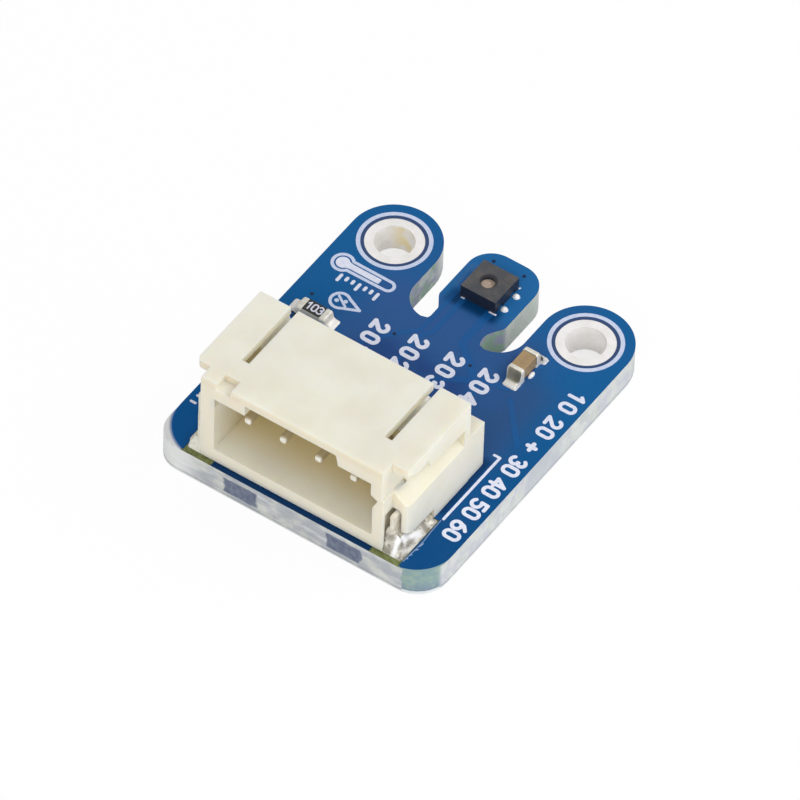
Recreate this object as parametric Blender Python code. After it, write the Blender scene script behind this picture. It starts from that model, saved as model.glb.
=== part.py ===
"""Small blue sensor board with a side-entry four-way header, three two-terminal chips and
a square humidity sensor on a tab between two mounting ears.

Frame: +Z up, underside of the board at z = 0, the board centred on the origin.
-Y is the header's open mating side, +Y the side with the ears and the sensor.
Driving dimensions are in millimetres. MM turns them into Blender's metres.
"""
import math

import bmesh
import bpy
from mathutils import Vector

MM = 0.001

# Board outline
BOARD_WIDTH = 15.7
BOARD_LENGTH = 19.0
BOARD_THICKNESS = 1.6
FRONT_Y = -BOARD_LENGTH / 2
REAR_Y = BOARD_LENGTH / 2
TOP_Z = BOARD_THICKNESS
EAR_RADIUS = 2.35
FRONT_CORNER_LEFT = 1.35
FRONT_CORNER_RIGHT = 1.7
HOLE_X = BOARD_WIDTH / 2 - EAR_RADIUS
HOLE_Y = REAR_Y - EAR_RADIUS
TAB_HALF_WIDTH = 1.9
TAB_CORNER_RADIUS = 1.35
TAB_END_Y = FRONT_Y + 18.95
SLOT_END_Y = FRONT_Y + 13.48
SLOT_SWEEP_RADIUS = 1.46
RELIEF_RADIUS = 0.97
RELIEF_X = 2.35
RELIEF_Y = FRONT_Y + 14.05
NECK_X = 1.53
NECK_Y = FRONT_Y + 14.57
TAB_FOOT_Y = FRONT_Y + 15.08

# Plated mounting holes
HOLE_RADIUS = 1.0
PLATING = 0.04
RING_RADIUS = 1.47
RING_RECESS = 0.05
SEAT_GAP = 0.01

# Header, in its own frame: x from its centre, y from the board's front edge, z above the board
HEADER_X = -0.14
HEADER_FRONT = 0.3
HEADER_REAR = 6.3
HEADER_LIFT = 0.06
HEADER_HEIGHT = 5.5
CORE_HALF = 5.2
ROOF_EDGE = 0.18
SIDE_HALF = 6.0
SIDE_FRONT = 1.1
SIDE_CORNER = 0.3
WING_INNER = 5.15
WING_REAR = 7.76
WING_HEIGHT = 3.07
WING_CORNER = 0.35
CAVITY_HALF = 4.42
CAVITY_BACK = 3.9
CAVITY_FLOOR = 0.85
CAVITY_TOP = 4.4
KEYWAY_TOP = 5.05
KEYWAY_HALF = 2.6
SLOT_X = 4.05
SLOT_HALF = 0.21
SLOT_FRONT = 2.27
CHANNEL_FLOOR = 4.1
CHANNEL_INNER = 3.2
CHANNEL_OUTER = 4.32
GROOVE_FLOOR_IN = 3.6
GROOVE_FLOOR_OUT = 2.85
GROOVE_ROOF = ((0.9, 5.02), (1.25, 5.02), (1.9, 4.7), (2.85, 4.7), (2.95, 4.22), (5.85, 4.02))
POST_RELIEF = 0.1
POST_RELIEF_FLOOR = 3.45
POST_RELIEF_REAR = 2.1
NICK_DEPTH = 0.25
LATCH_DEPTH = 0.18
RECESS_LEFT = -4.36
RECESS_RIGHT = -3.52
RECESS_BACK = 1.1
RECESS_DEPTH = 0.42
HOUSING_EDGE = 0.07

# Solder tabs and their pockets
POCKET_INNER = 5.03
POCKET_OUTER = 5.7
POCKET_TOP = 2.48
POCKET_FRONT = 0.46
POCKET_REAR = 3.45
SKIRT_HEIGHT = 0.72
TAB_INNER = 5.36
TAB_SHEET = 0.2
TAB_FRONT = 0.66
TAB_REAR = 3.36
TAB_TOP = 2.35
TAB_FOOT_OUT = 6.0

# Contacts
PIN_PITCH = 2.0
PIN_COUNT = 4
PIN_SIZE = 0.5
PIN_AXIS = 3.35
PIN_TIP = 1.0
PIN_TIP_SCALE = 0.66
PIN_TAPER = 0.14
PIN_DROP = 6.95
PIN_BEND = 0.3
PIN_FOOT_END = 8.5
PAD_THICKNESS = 0.04
PIN_PAD_WIDTH = 1.0
PIN_PAD_FRONT = 6.4
PIN_PAD_REAR = 9.3
MOUNT_PAD_X = 5.35
MOUNT_PAD_WIDTH = 1.5
MOUNT_PAD_FRONT = 0.35
MOUNT_PAD_REAR = 3.8

# Chips
CHIP_LENGTH = 1.6
CHIP_WIDTH = 0.82
RESISTOR_HEIGHT = 0.45
CAPACITOR_HEIGHT = 0.8
CHIP_BAND = 0.3
CHIP_PLATE = 0.03
CHIP_PAD_REACH = 0.5
RESISTOR_1_AT = (-5.93, FRONT_Y + 10.57)
RESISTOR_2_AT = (-7.0, FRONT_Y + 8.3)
CAPACITOR_AT = (4.08, FRONT_Y + 13.45)

# Sensor
SENSOR_AT = (0.0, FRONT_Y + 16.6)
SENSOR_SIZE = 2.0
SENSOR_HEIGHT = 0.75
SENSOR_LEAD_PITCH = 1.0
SENSOR_LEAD_WIDTH = 0.35
SENSOR_LEAD_LENGTH = 0.45
SENSOR_LEAD_HEIGHT = 0.2
VENT_RADIUS = 0.38
VENT_DEPTH = 0.3
VENT_AT = (-0.03, -0.1)
MEMBRANE_THICKNESS = 0.1


def material(name, colour, roughness, metallic=0.0):
    """A Principled material in one colour."""
    made = bpy.data.materials.new(name)
    made.use_nodes = True
    shader = made.node_tree.nodes["Principled BSDF"]
    shader.inputs["Base Color"].default_value = (*colour, 1.0)
    shader.inputs["Roughness"].default_value = roughness
    shader.inputs["Metallic"].default_value = metallic
    return made


def arc(centre, radius, start, end, steps):
    """Points on an arc, both ends included, angles in degrees."""
    points = []
    for step in range(steps + 1):
        angle = math.radians(start + (end - start) * step / steps)
        points.append((centre[0] + radius * math.cos(angle), centre[1] + radius * math.sin(angle)))
    return points


def loft(rings):
    """A closed body through rings of equally many points, capped at both ends."""
    shape = bmesh.new()
    made = [[shape.verts.new(point) for point in ring] for ring in rings]
    count = len(made[0])
    for lower, upper in zip(made, made[1:]):
        for i in range(count):
            j = (i + 1) % count
            shape.faces.new((lower[i], lower[j], upper[j], upper[i]))
    shape.faces.new(list(reversed(made[0])))
    shape.faces.new(made[-1])
    return shape


def prism(outline, axis, low, high):
    """An outline drawn square to an axis and extruded along it."""
    place = {
        "x": lambda a, b: (low, a, b),
        "y": lambda a, b: (a, low, b),
        "z": lambda a, b: (a, b, low),
    }[axis]
    shape = bmesh.new()
    base = shape.faces.new([shape.verts.new(place(a, b)) for a, b in outline])
    pushed = bmesh.ops.extrude_face_region(shape, geom=[base])
    moved = [made for made in pushed["geom"] if isinstance(made, bmesh.types.BMVert)]
    along = Vector([(high - low) * (name == axis) for name in "xyz"])
    bmesh.ops.translate(shape, verts=moved, vec=along)
    return shape


def block(low, high):
    """A box between two corners."""
    corners = [(low[0], low[1]), (high[0], low[1]), (high[0], high[1]), (low[0], high[1])]
    return prism(corners, "z", low[2], high[2])


def turned(profile, steps):
    """A closed ring spun about the vertical axis from (radius, z) points."""
    shape = bmesh.new()
    points = [shape.verts.new((radius, 0.0, z)) for radius, z in profile]
    edges = [shape.edges.new((a, b)) for a, b in zip(points, points[1:] + points[:1])]
    bmesh.ops.spin(shape, geom=points + edges, cent=(0, 0, 0), axis=(0, 0, 1), angle=2 * math.pi,
                   steps=steps, use_merge=True)
    return shape


def circle(centre, radius, steps):
    return arc(centre, radius, 0, 360 - 360 / steps, steps - 1)


def rounded_rectangle(low, high, radius, steps=3):
    points = []
    corners = [
        ((high[0] - radius, high[1] - radius), 0), ((low[0] + radius, high[1] - radius), 90),
        ((low[0] + radius, low[1] + radius), 180), ((high[0] - radius, low[1] + radius), 270),
    ]
    for centre, start in corners:
        points += arc(centre, radius, start, start + 90, steps)
    return points


def new_object(name, shape, smooth_angle=None):
    """Turns a bmesh in millimetres into a scene object in metres."""
    bmesh.ops.recalc_face_normals(shape, faces=shape.faces)
    bmesh.ops.scale(shape, vec=(MM, MM, MM), verts=shape.verts)
    mesh = bpy.data.meshes.new(name)
    shape.to_mesh(mesh)
    shape.free()
    made = bpy.data.objects.new(name, mesh)
    bpy.context.scene.collection.objects.link(made)
    if smooth_angle:
        mesh.shade_smooth()
        mesh.set_sharp_from_angle(angle=math.radians(smooth_angle))
    return made


def carrier(name, at, turn=0.0):
    """An empty that places every piece of one component."""
    made = bpy.data.objects.new(name, None)
    made.empty_display_size = MM
    made.location = Vector(at) * MM
    made.rotation_euler.z = math.radians(turn)
    bpy.context.scene.collection.objects.link(made)
    return made


def piece(name, shape, finish, smooth_angle=None, on=None, at=(0.0, 0.0, 0.0), turn=0.0):
    """A part of the module, placed by its location and rotation on its component's empty."""
    made = new_object(name, shape, smooth_angle)
    made.data.materials.append(finish)
    made.parent = on
    made.location = Vector(at) * MM
    made.rotation_euler.z = math.radians(turn)
    return made


def combine(target, shape, operation):
    """Adds a Boolean against a hidden helper that stands in the target's own frame."""
    helper = new_object("helper_%s_%d" % (target.name, len(target.modifiers)), shape)
    helper.hide_render = True
    helper.display_type = "WIRE"
    helper.parent = target.parent
    helper.location = target.location
    helper.rotation_euler = target.rotation_euler
    step = target.modifiers.new(operation.lower(), "BOOLEAN")
    step.operation = operation
    step.solver = "EXACT"
    step.object = helper


def cut(target, *shapes):
    for shape in shapes:
        combine(target, shape, "DIFFERENCE")


def join(target, *shapes):
    for shape in shapes:
        combine(target, shape, "UNION")


def soften(target, width, segments=1, angle=35):
    bevel = target.modifiers.new("soft edges", "BEVEL")
    bevel.width = width * MM
    bevel.segments = segments
    bevel.limit_method = "ANGLE"
    bevel.angle_limit = math.radians(angle)


def half_outline(corner_radius):
    """Half of the board, from the middle of the front edge round to the middle of the tab."""
    half = BOARD_WIDTH / 2
    corner = (half - corner_radius, FRONT_Y + corner_radius)
    sweep_x = HOLE_X - EAR_RADIUS - SLOT_SWEEP_RADIUS
    sweep = (sweep_x, SLOT_END_Y + SLOT_SWEEP_RADIUS)
    relief_start = math.degrees(math.asin((SLOT_END_Y + 0.1 - RELIEF_Y) / RELIEF_RADIUS))
    relief_end = math.degrees(math.asin((NECK_Y - RELIEF_Y) / RELIEF_RADIUS))
    outline = [(0.0, FRONT_Y)]
    outline += arc(corner, corner_radius, -90, 0, 8)
    outline += arc((HOLE_X, HOLE_Y), EAR_RADIUS, 0, 180, 20)
    outline += arc(sweep, SLOT_SWEEP_RADIUS, 0, -85, 8)
    outline += arc((RELIEF_X, RELIEF_Y), RELIEF_RADIUS, 180 - relief_start, 180 - relief_end, 6)
    outline += [(TAB_HALF_WIDTH - 0.06, TAB_FOOT_Y - 0.05), (TAB_HALF_WIDTH, TAB_FOOT_Y + 0.1)]
    outline += arc((TAB_HALF_WIDTH - TAB_CORNER_RADIUS, TAB_END_Y - TAB_CORNER_RADIUS),
                   TAB_CORNER_RADIUS, 0, 90, 8)
    outline += [(0.0, TAB_END_Y)]
    return outline


def board_outline():
    """Right half and mirrored left half; only their front corners differ."""
    left = half_outline(FRONT_CORNER_LEFT)
    return half_outline(FRONT_CORNER_RIGHT) + [(-x, y) for x, y in reversed(left) if abs(x) > 1e-9]


def build_board(finish):
    board = piece("circuit_board", prism(board_outline(), "z", 0.0, TOP_Z), finish)
    bore = HOLE_RADIUS + PLATING + SEAT_GAP
    seat = RING_RADIUS + SEAT_GAP
    for side in (-1, 1):
        centre = (side * HOLE_X, HOLE_Y)
        cut(board, prism(circle(centre, bore, 40), "z", -1.0, TOP_Z + 1.0))
        cut(board, prism(circle(centre, seat, 40), "z", TOP_Z - RING_RECESS, TOP_Z + 1.0))
        cut(board, prism(circle(centre, seat, 40), "z", -1.0, RING_RECESS))


def build_mounting_rings(finish):
    """The plated barrel and its two annular rings, flush with both faces of the board."""
    inner = HOLE_RADIUS
    outer = HOLE_RADIUS + PLATING
    lower = RING_RECESS - SEAT_GAP
    upper = TOP_Z - lower
    profile = [
        (inner, 0.0), (RING_RADIUS, 0.0), (RING_RADIUS, lower), (outer, lower),
        (outer, upper), (RING_RADIUS, upper), (RING_RADIUS, TOP_Z), (inner, TOP_Z),
    ]
    for side, name in ((-1, "left"), (1, "right")):
        piece("mounting_ring_" + name, turned(profile, 40), finish, 40, at=(side * HOLE_X, HOLE_Y, 0.0))


def build_housing(header, finish):
    """The shroud: a core and two side bodies, opened, slotted, grooved and pocketed."""
    base = HEADER_LIFT
    top = HEADER_HEIGHT
    far = 20.0
    edge = arc((HEADER_FRONT + ROOF_EDGE, top - ROOF_EDGE), ROOF_EDGE, 180, 90, 4)
    core = [(HEADER_REAR, top), (HEADER_REAR, base), (HEADER_FRONT, base)] + edge
    housing = piece("connector_housing", prism(core, "x", -CORE_HALF, CORE_HALF), finish, 30, header)
    for side in (-1, 1):
        join(housing, side_body(side, base, top), wing(side, base))
        cut(housing, wing_corner(side))
    cut(housing, mating_cavity(far))
    for side in (-1, 1):
        cut_roof_slot(housing, side, far)
        cut(housing, side_groove(side))
        cut_tab_pocket(housing, side, far)
    cut(housing, block((RECESS_LEFT, -far, top - RECESS_DEPTH), (RECESS_RIGHT, RECESS_BACK, top + 1)))
    relieve_post(housing, far)
    latch = (-CAVITY_HALF - LATCH_DEPTH, -CAVITY_HALF + 0.1)
    cut(housing, block((latch[0], HEADER_FRONT + 0.08, 3.75), (latch[1], 1.0, 4.3)))
    hole = PIN_SIZE / 2 + SEAT_GAP
    for x in pin_positions():
        cut(housing, block((x - hole, CAVITY_BACK - 0.5, PIN_AXIS - hole),
                           (x + hole, HEADER_REAR + 1, PIN_AXIS + hole)))
    soften(housing, HOUSING_EDGE, 2)


def side_body(side, base, top):
    """The body beside the core, later divided by the groove into an ear and a flange."""
    radius = SIDE_CORNER
    outline = [(CORE_HALF - 0.1, SIDE_FRONT)]
    outline += arc((SIDE_HALF - radius, SIDE_FRONT + radius), radius, -90, 0, 4)
    outline += [(SIDE_HALF, HEADER_REAR - 0.05), (SIDE_HALF - 0.05, HEADER_REAR), (CORE_HALF - 0.1, HEADER_REAR)]
    return prism([(side * x, y) for x, y in outline], "z", base, top)


def wing(side, base):
    """The flange beside the contact tails, rounded at its top rear edge."""
    radius = 0.5
    outline = [(HEADER_REAR - 0.4, base), (WING_REAR, base)]
    outline += arc((WING_REAR - radius, WING_HEIGHT - radius), radius, 0, 90, 4)
    outline += [(HEADER_REAR - 0.4, WING_HEIGHT)]
    return prism(outline, "x", *sorted((side * WING_INNER, side * (SIDE_HALF - 0.02))))


def wing_corner(side):
    """What the wing's upright outer corner loses to its rounding."""
    face = SIDE_HALF - 0.02
    outline = [(face + 1, WING_REAR + 1), (face + 1, WING_REAR - WING_CORNER)]
    outline += arc((face - WING_CORNER, WING_REAR - WING_CORNER), WING_CORNER, 0, 90, 4)
    outline += [(face - WING_CORNER, WING_REAR + 1)]
    return prism([(side * x, y) for x, y in outline], "z", -1.0, WING_HEIGHT + 1)


def mating_cavity(far):
    """Front view of the opening: a taller keyway between two lips, and a V groove in one wall."""
    floor = CAVITY_FLOOR
    lip = CAVITY_TOP
    roof = KEYWAY_TOP
    lean = 0.13
    outline = [(-CAVITY_HALF, floor), (CAVITY_HALF + 0.16, floor)]
    outline += [(CAVITY_HALF + 0.16, 2.79), (CAVITY_HALF + 0.44, 3.4), (CAVITY_HALF + 0.05, 3.62)]
    outline += [(CAVITY_HALF + 0.05, lip), (KEYWAY_HALF, lip), (KEYWAY_HALF - lean, roof),
                (-KEYWAY_HALF - 0.1, roof), (-KEYWAY_HALF - 0.1, lip), (-CAVITY_HALF, lip)]
    return prism(outline, "y", -far, CAVITY_BACK)


def cut_roof_slot(housing, side, far):
    """The long slot in the roof, open behind, and the wider channel that runs under it."""
    slot = sorted((side * (SLOT_X - SLOT_HALF), side * (SLOT_X + SLOT_HALF)))
    channel = sorted((side * CHANNEL_INNER, side * CHANNEL_OUTER))
    cut(housing, block((slot[0], SLOT_FRONT, CHANNEL_FLOOR + 0.1), (slot[1], far, HEADER_HEIGHT + 1)))
    cut(housing, block((channel[0], SLOT_FRONT, CHANNEL_FLOOR), (channel[1], far, KEYWAY_TOP)))


def side_groove(side):
    """The groove between ear and flange: its floor falls outwards and its roof steps down."""
    inner = CORE_HALF
    outer = SIDE_HALF + 0.3
    fall = (GROOVE_FLOOR_IN - GROOVE_FLOOR_OUT) / (SIDE_HALF - CORE_HALF)
    low = GROOVE_FLOOR_IN - fall * (outer - inner)
    rings = []
    for y, roof in GROOVE_ROOF:
        ring = [(inner, GROOVE_FLOOR_IN), (outer, low), (outer, roof), (inner, roof)]
        rings.append([(side * x, y, z) for x, z in ring])
    return loft(rings)


def relieve_post(housing, far):
    """The right front post is thinner above the flange, back to a small three-cornered nick."""
    inner = CORE_HALF - POST_RELIEF
    floor = POST_RELIEF_FLOOR
    profile = [(-far, floor), (POST_RELIEF_REAR, floor + 0.1), (POST_RELIEF_REAR, 4.5),
               (SIDE_FRONT - 0.01, 4.9), (SIDE_FRONT - 0.01, HEADER_HEIGHT + 1), (-far, HEADER_HEIGHT + 1)]
    cut(housing, prism(profile, "x", inner, CORE_HALF + 0.2))
    nick = [(1.3, floor + 0.03), (POST_RELIEF_REAR, floor + 0.11), (POST_RELIEF_REAR, floor - NICK_DEPTH)]
    cut(housing, prism(nick, "x", inner, CORE_HALF + 0.08))


def cut_tab_pocket(housing, side, far):
    """The solder tab's pocket behind the front post, open below, and the skirt's raised edge."""
    arch = [(POCKET_INNER, -far), (POCKET_OUTER, -far), (POCKET_OUTER, POCKET_TOP - 0.2),
            (POCKET_OUTER - 0.12, POCKET_TOP), (POCKET_INNER + 0.1, POCKET_TOP),
            (POCKET_INNER, POCKET_TOP - 0.1)]
    cut(housing, prism([(side * x, z) for x, z in arch], "y", POCKET_FRONT, POCKET_REAR))
    skirt = [(0.9, -far), (POCKET_REAR, -far), (POCKET_REAR, SKIRT_HEIGHT), (2.45, SKIRT_HEIGHT + 0.02),
             (1.6, SKIRT_HEIGHT + 0.1), (SIDE_FRONT, 1.05), (0.9, 1.1)]
    cut(housing, prism(skirt, "x", *sorted((side * (CORE_HALF + 0.05), side * far))))


def pin_positions():
    first = -(PIN_COUNT - 1) / 2 * PIN_PITCH
    return [first + k * PIN_PITCH for k in range(PIN_COUNT)]


def pin_route():
    """Centre line of a contact in the YZ plane with its heading, from tip to foot."""
    foot = PAD_THICKNESS + SEAT_GAP + PIN_SIZE / 2
    route = [(PIN_TIP, PIN_AXIS, 0.0)]
    for y, z in arc((PIN_DROP - PIN_BEND, PIN_AXIS - PIN_BEND), PIN_BEND, 90, 0, 4):
        route.append((y, z, math.atan2(-(y - (PIN_DROP - PIN_BEND)), z - (PIN_AXIS - PIN_BEND))))
    for y, z in arc((PIN_DROP + PIN_BEND, foot + PIN_BEND), PIN_BEND, 180, 270, 4):
        route.append((y, z, math.atan2(-(PIN_DROP + PIN_BEND - y), foot + PIN_BEND - z)))
    route.append((PIN_FOOT_END, foot, 0.0))
    return route


def build_pins(header, finish):
    """Square contacts with a tapered tip: through the rear wall, down behind it and onto a pad."""
    stations = [(PIN_TIP, PIN_AXIS, 0.0, PIN_TIP_SCALE), (PIN_TIP + PIN_TAPER, PIN_AXIS, 0.0, 1.0)]
    stations += [(y, z, heading, 1.0) for y, z, heading in pin_route()[1:]]
    for number, x in enumerate(pin_positions(), 1):
        rings = []
        for y, z, heading, scale in stations:
            reach = PIN_SIZE / 2 * scale
            up = (-math.sin(heading) * reach, math.cos(heading) * reach)
            rings.append([(-reach, y - up[0], z - up[1]), (reach, y - up[0], z - up[1]),
                          (reach, y + up[0], z + up[1]), (-reach, y + up[0], z + up[1])])
        piece("contact_pin_%d" % number, loft(rings), finish, 50, header, at=(x, 0.0, 0.0))


def build_pin_solder(header, finish):
    """Solder on each contact's pad, cut away where the foot stands in it."""
    half = PIN_PAD_WIDTH / 2
    foot = PIN_SIZE / 2 + SEAT_GAP
    for number, x in enumerate(pin_positions(), 1):
        rings = []
        for inset, height in ((0.0, 0.0), (0.0, PAD_THICKNESS), (0.12, 0.09), (0.19, 0.2), (0.22, 0.36)):
            ring = rounded_rectangle((inset - half, PIN_PAD_FRONT + inset),
                                     (half - inset, PIN_PAD_REAR - inset * 2), 0.1)
            rings.append([(a, b, height) for a, b in ring])
        solder = piece("pin_solder_%d" % number, loft(rings), finish, 40, header, at=(x, 0.0, 0.0))
        base = PAD_THICKNESS
        back = block((-foot, PIN_DROP - foot, base), (foot, PIN_FOOT_END + SEAT_GAP, base + 2))
        heel = block((-1.0, 0.0, base + 0.03), (1.0, PIN_DROP + foot, base + 2))
        cut(solder, back, heel)


def build_mount_tabs(header, finish):
    """The header's solder tabs: a blade in the pocket, bent outwards into a foot."""
    low = PAD_THICKNESS + SEAT_GAP
    sheet = TAB_SHEET
    for side, name in ((-1, "left"), (1, "right")):
        inner = TAB_INNER
        outline = [(inner, TAB_TOP), (inner, low + 0.15)]
        outline += [(inner + 0.05, low + 0.05), (inner + 0.15, low), (TAB_FOOT_OUT, low), (TAB_FOOT_OUT, low + sheet)]
        outline += [(inner + sheet + 0.08, low + sheet), (inner + sheet, low + sheet + 0.08)]
        outline += [(inner + sheet, TAB_TOP - 0.1), (inner + sheet - 0.08, TAB_TOP)]
        shape = prism([(side * x, z) for x, z in outline], "y", TAB_FRONT, TAB_REAR)
        piece("mount_tab_" + name, shape, finish, None, header)


def build_tab_solder(header, finish):
    """Pad and solder under each tab: a bank along the foot that climbs the blade at the front."""
    low = PAD_THICKNESS
    gap = SEAT_GAP
    for side, name in ((-1, "left"), (1, "right")):
        inner = side * (MOUNT_PAD_X - MOUNT_PAD_WIDTH / 2) - HEADER_X
        outer = side * (MOUNT_PAD_X + MOUNT_PAD_WIDTH / 2) - HEADER_X
        pad = sorted((inner, outer))
        solder = piece("tab_solder_" + name,
                       block((pad[0], MOUNT_PAD_FRONT, 0.0), (pad[1], MOUNT_PAD_REAR, low)), finish, 40, header)
        bank = [(MOUNT_PAD_FRONT, 0.0), (MOUNT_PAD_FRONT, 0.12), (0.48, 0.5), (0.62, 1.15),
                (TAB_FRONT + 0.1, 1.4), (SIDE_FRONT - 0.05, 0.95), (1.7, 0.66),
                (POCKET_REAR - 0.02, 0.6), (POCKET_REAR - 0.02, 0.0)]
        join(solder, prism(bank, "x", *sorted((side * (CORE_HALF + 0.03), outer))))
        slope = [(POCKET_OUTER - 0.05, 3.0), (POCKET_OUTER - 0.05, 0.9), (POCKET_OUTER + 0.2, 0.46),
                 (abs(outer) - 0.05, 0.3), (abs(outer) + 0.4, -0.1), (abs(outer) + 0.4, 3.0)]
        cut(solder, prism([(side * x, z) for x, z in slope], "y", -1.0, 9.0))
        blade = sorted((side * (TAB_INNER - gap), side * (TAB_INNER + TAB_SHEET + gap)))
        foot = sorted((side * (TAB_INNER - gap), side * (TAB_FOOT_OUT + gap)))
        cut(solder, block((blade[0], TAB_FRONT - gap, low), (blade[1], TAB_REAR + gap, 4.0)))
        cut(solder, block((foot[0], TAB_FRONT - gap, low), (foot[1], TAB_REAR + gap, low + TAB_SHEET + 2 * gap)))


def build_chip(name, at, turn, height, body_finish, metal, solder):
    """A two-terminal chip on its own empty: body, a metal cap round each end and a fillet at each end."""
    chip = carrier(name, (*at, TOP_Z), turn)
    low = PAD_THICKNESS + SEAT_GAP
    half_length = CHIP_LENGTH / 2
    half_width = CHIP_WIDTH / 2
    skin = CHIP_PLATE + SEAT_GAP
    inner = (half_length - skin, half_width - skin)
    body = block((-inner[0], -inner[1], low + skin), (inner[0], inner[1], low + height - skin))
    soften(piece(name + "_body", body, body_finish, None, chip), 0.03)
    wall = half_width - CHIP_PLATE
    for turned_by, end in ((180, "a"), (0, "b")):
        shell = block((half_length - CHIP_BAND, -half_width, low), (half_length, half_width, low + height))
        cap = piece("%s_cap_%s" % (name, end), shell, metal, None, chip, turn=turned_by)
        cut(cap, block((0.0, -wall, low + CHIP_PLATE), (half_length - CHIP_PLATE, wall, low + height - CHIP_PLATE)))
        soften(cap, 0.02)
        fillet = chip_fillet(half_length, half_width, height)
        piece("%s_solder_%s" % (name, end), fillet, solder, 50, chip, turn=turned_by)
    return chip


def chip_fillet(half_length, half_width, height):
    """Pad under the chip's end with a concave bank of solder up its end face."""
    start = half_length + SEAT_GAP
    end = half_length + CHIP_PAD_REACH
    rise = min(height * 0.75, 0.5)
    profile = [(half_length - 0.45, 0.0), (end, 0.0), (end, PAD_THICKNESS)]
    for step in range(5):
        share = step / 4
        x = end - 0.04 - (CHIP_PAD_REACH - SEAT_GAP - 0.1) * share
        profile.append((x, PAD_THICKNESS + 0.02 + (rise - 0.02) * share ** 2.2))
    profile += [(start, rise + PAD_THICKNESS), (start, PAD_THICKNESS), (half_length - 0.45, PAD_THICKNESS)]
    return loft([[(x, y, z) for x, z in profile] for y in (-half_width, half_width)])


def build_overcoat(name, chip, finish):
    """The resistor's dark glaze between its terminations."""
    reach = CHIP_LENGTH / 2 - CHIP_BAND - SEAT_GAP
    top = PAD_THICKNESS + SEAT_GAP + RESISTOR_HEIGHT
    half = CHIP_WIDTH / 2 - 0.05
    coat = block((-reach, -half, top - CHIP_PLATE), (reach, half, top + 0.015))
    soften(piece(name, coat, finish, None, chip), 0.01)


def build_sensor(body_finish, membrane_finish, metal, solder):
    """A square moulded package with a round vent over its filter membrane and four side leads."""
    sensor = carrier("sensor", (*SENSOR_AT, TOP_Z))
    half = SENSOR_SIZE / 2
    low = PAD_THICKNESS + SEAT_GAP
    top = low + SENSOR_HEIGHT
    body = piece("sensor_body", block((-half, -half, low), (half, half, top)), body_finish, 30, sensor)
    cut(body, prism(circle(VENT_AT, VENT_RADIUS, 32), "z", top - VENT_DEPTH, top + 1))
    seat = top - VENT_DEPTH + SEAT_GAP
    membrane = prism(circle((0.0, 0.0), VENT_RADIUS - SEAT_GAP, 32), "z", 0.0, MEMBRANE_THICKNESS)
    piece("sensor_membrane", membrane, membrane_finish, 40, sensor, at=(*VENT_AT, seat))
    wide = SENSOR_LEAD_WIDTH / 2
    gap = SEAT_GAP
    places = [(side, row * SENSOR_LEAD_PITCH / 2) for side in (-1, 1) for row in (-1, 1)]
    for number, (side, y) in enumerate(places, 1):
        lead = block((-SENSOR_LEAD_LENGTH, -wide, low), (0.02, wide, low + SENSOR_LEAD_HEIGHT))
        at = (side * half, y, 0.0)
        turn = 0.0 if side > 0 else 180.0
        piece("sensor_lead_%d" % number, lead, metal, None, sensor, at, turn)
        piece("sensor_solder_%d" % number, sensor_fillet(wide), solder, 50, sensor, at, turn)
        reach = sorted((side * (half - SENSOR_LEAD_LENGTH - gap), side * (half + 1)))
        cut(body, block((reach[0], y - wide - gap, low - 1), (reach[1], y + wide + gap, low + SENSOR_LEAD_HEIGHT + gap)))


def sensor_fillet(wide):
    """Pad and fillet against a lead's end, measured out from the package's side."""
    start = 0.02 + SEAT_GAP
    profile = [(-0.4, 0.0), (0.28, 0.0), (0.28, PAD_THICKNESS), (0.2, 0.09), (0.12, 0.17),
               (start, 0.24), (start, PAD_THICKNESS), (-0.4, PAD_THICKNESS)]
    return prism(profile, "y", -wide, wide)


def main():
    for existing in list(bpy.data.objects):
        bpy.data.objects.remove(existing)
    blue = material("blue board", (0.02, 0.09, 0.30), 0.35)
    plating = material("tin plating", (0.78, 0.78, 0.76), 0.3, 1.0)
    cream = material("cream moulding", (0.80, 0.77, 0.66), 0.45)
    tin = material("tinned contact", (0.80, 0.80, 0.78), 0.25, 1.0)
    solder = material("solder", (0.75, 0.75, 0.74), 0.28, 1.0)
    alumina = material("white alumina", (0.75, 0.75, 0.72), 0.5)
    glaze = material("black glaze", (0.03, 0.03, 0.03), 0.4)
    ceramic = material("tan ceramic", (0.36, 0.25, 0.15), 0.5)
    package = material("grey package", (0.10, 0.09, 0.09), 0.45)
    filter_cloth = material("tan membrane", (0.45, 0.33, 0.24), 0.8)
    build_board(blue)
    build_mounting_rings(plating)
    header = carrier("header", (HEADER_X, FRONT_Y, TOP_Z))
    build_housing(header, cream)
    build_pins(header, tin)
    build_pin_solder(header, solder)
    build_mount_tabs(header, tin)
    build_tab_solder(header, solder)
    for number, (at, turn) in enumerate(((RESISTOR_1_AT, 0), (RESISTOR_2_AT, 90)), 1):
        name = "resistor_%d" % number
        chip = build_chip(name, at, turn, RESISTOR_HEIGHT, alumina, tin, solder)
        build_overcoat(name + "_overcoat", chip, glaze)
    build_chip("capacitor", CAPACITOR_AT, 90, CAPACITOR_HEIGHT, ceramic, tin, solder)
    build_sensor(package, filter_cloth, tin, solder)


main()
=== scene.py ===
import math

import bmesh
import bpy
from mathutils import Matrix, Vector, noise
from mathutils.geometry import delaunay_2d_cdt


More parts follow.
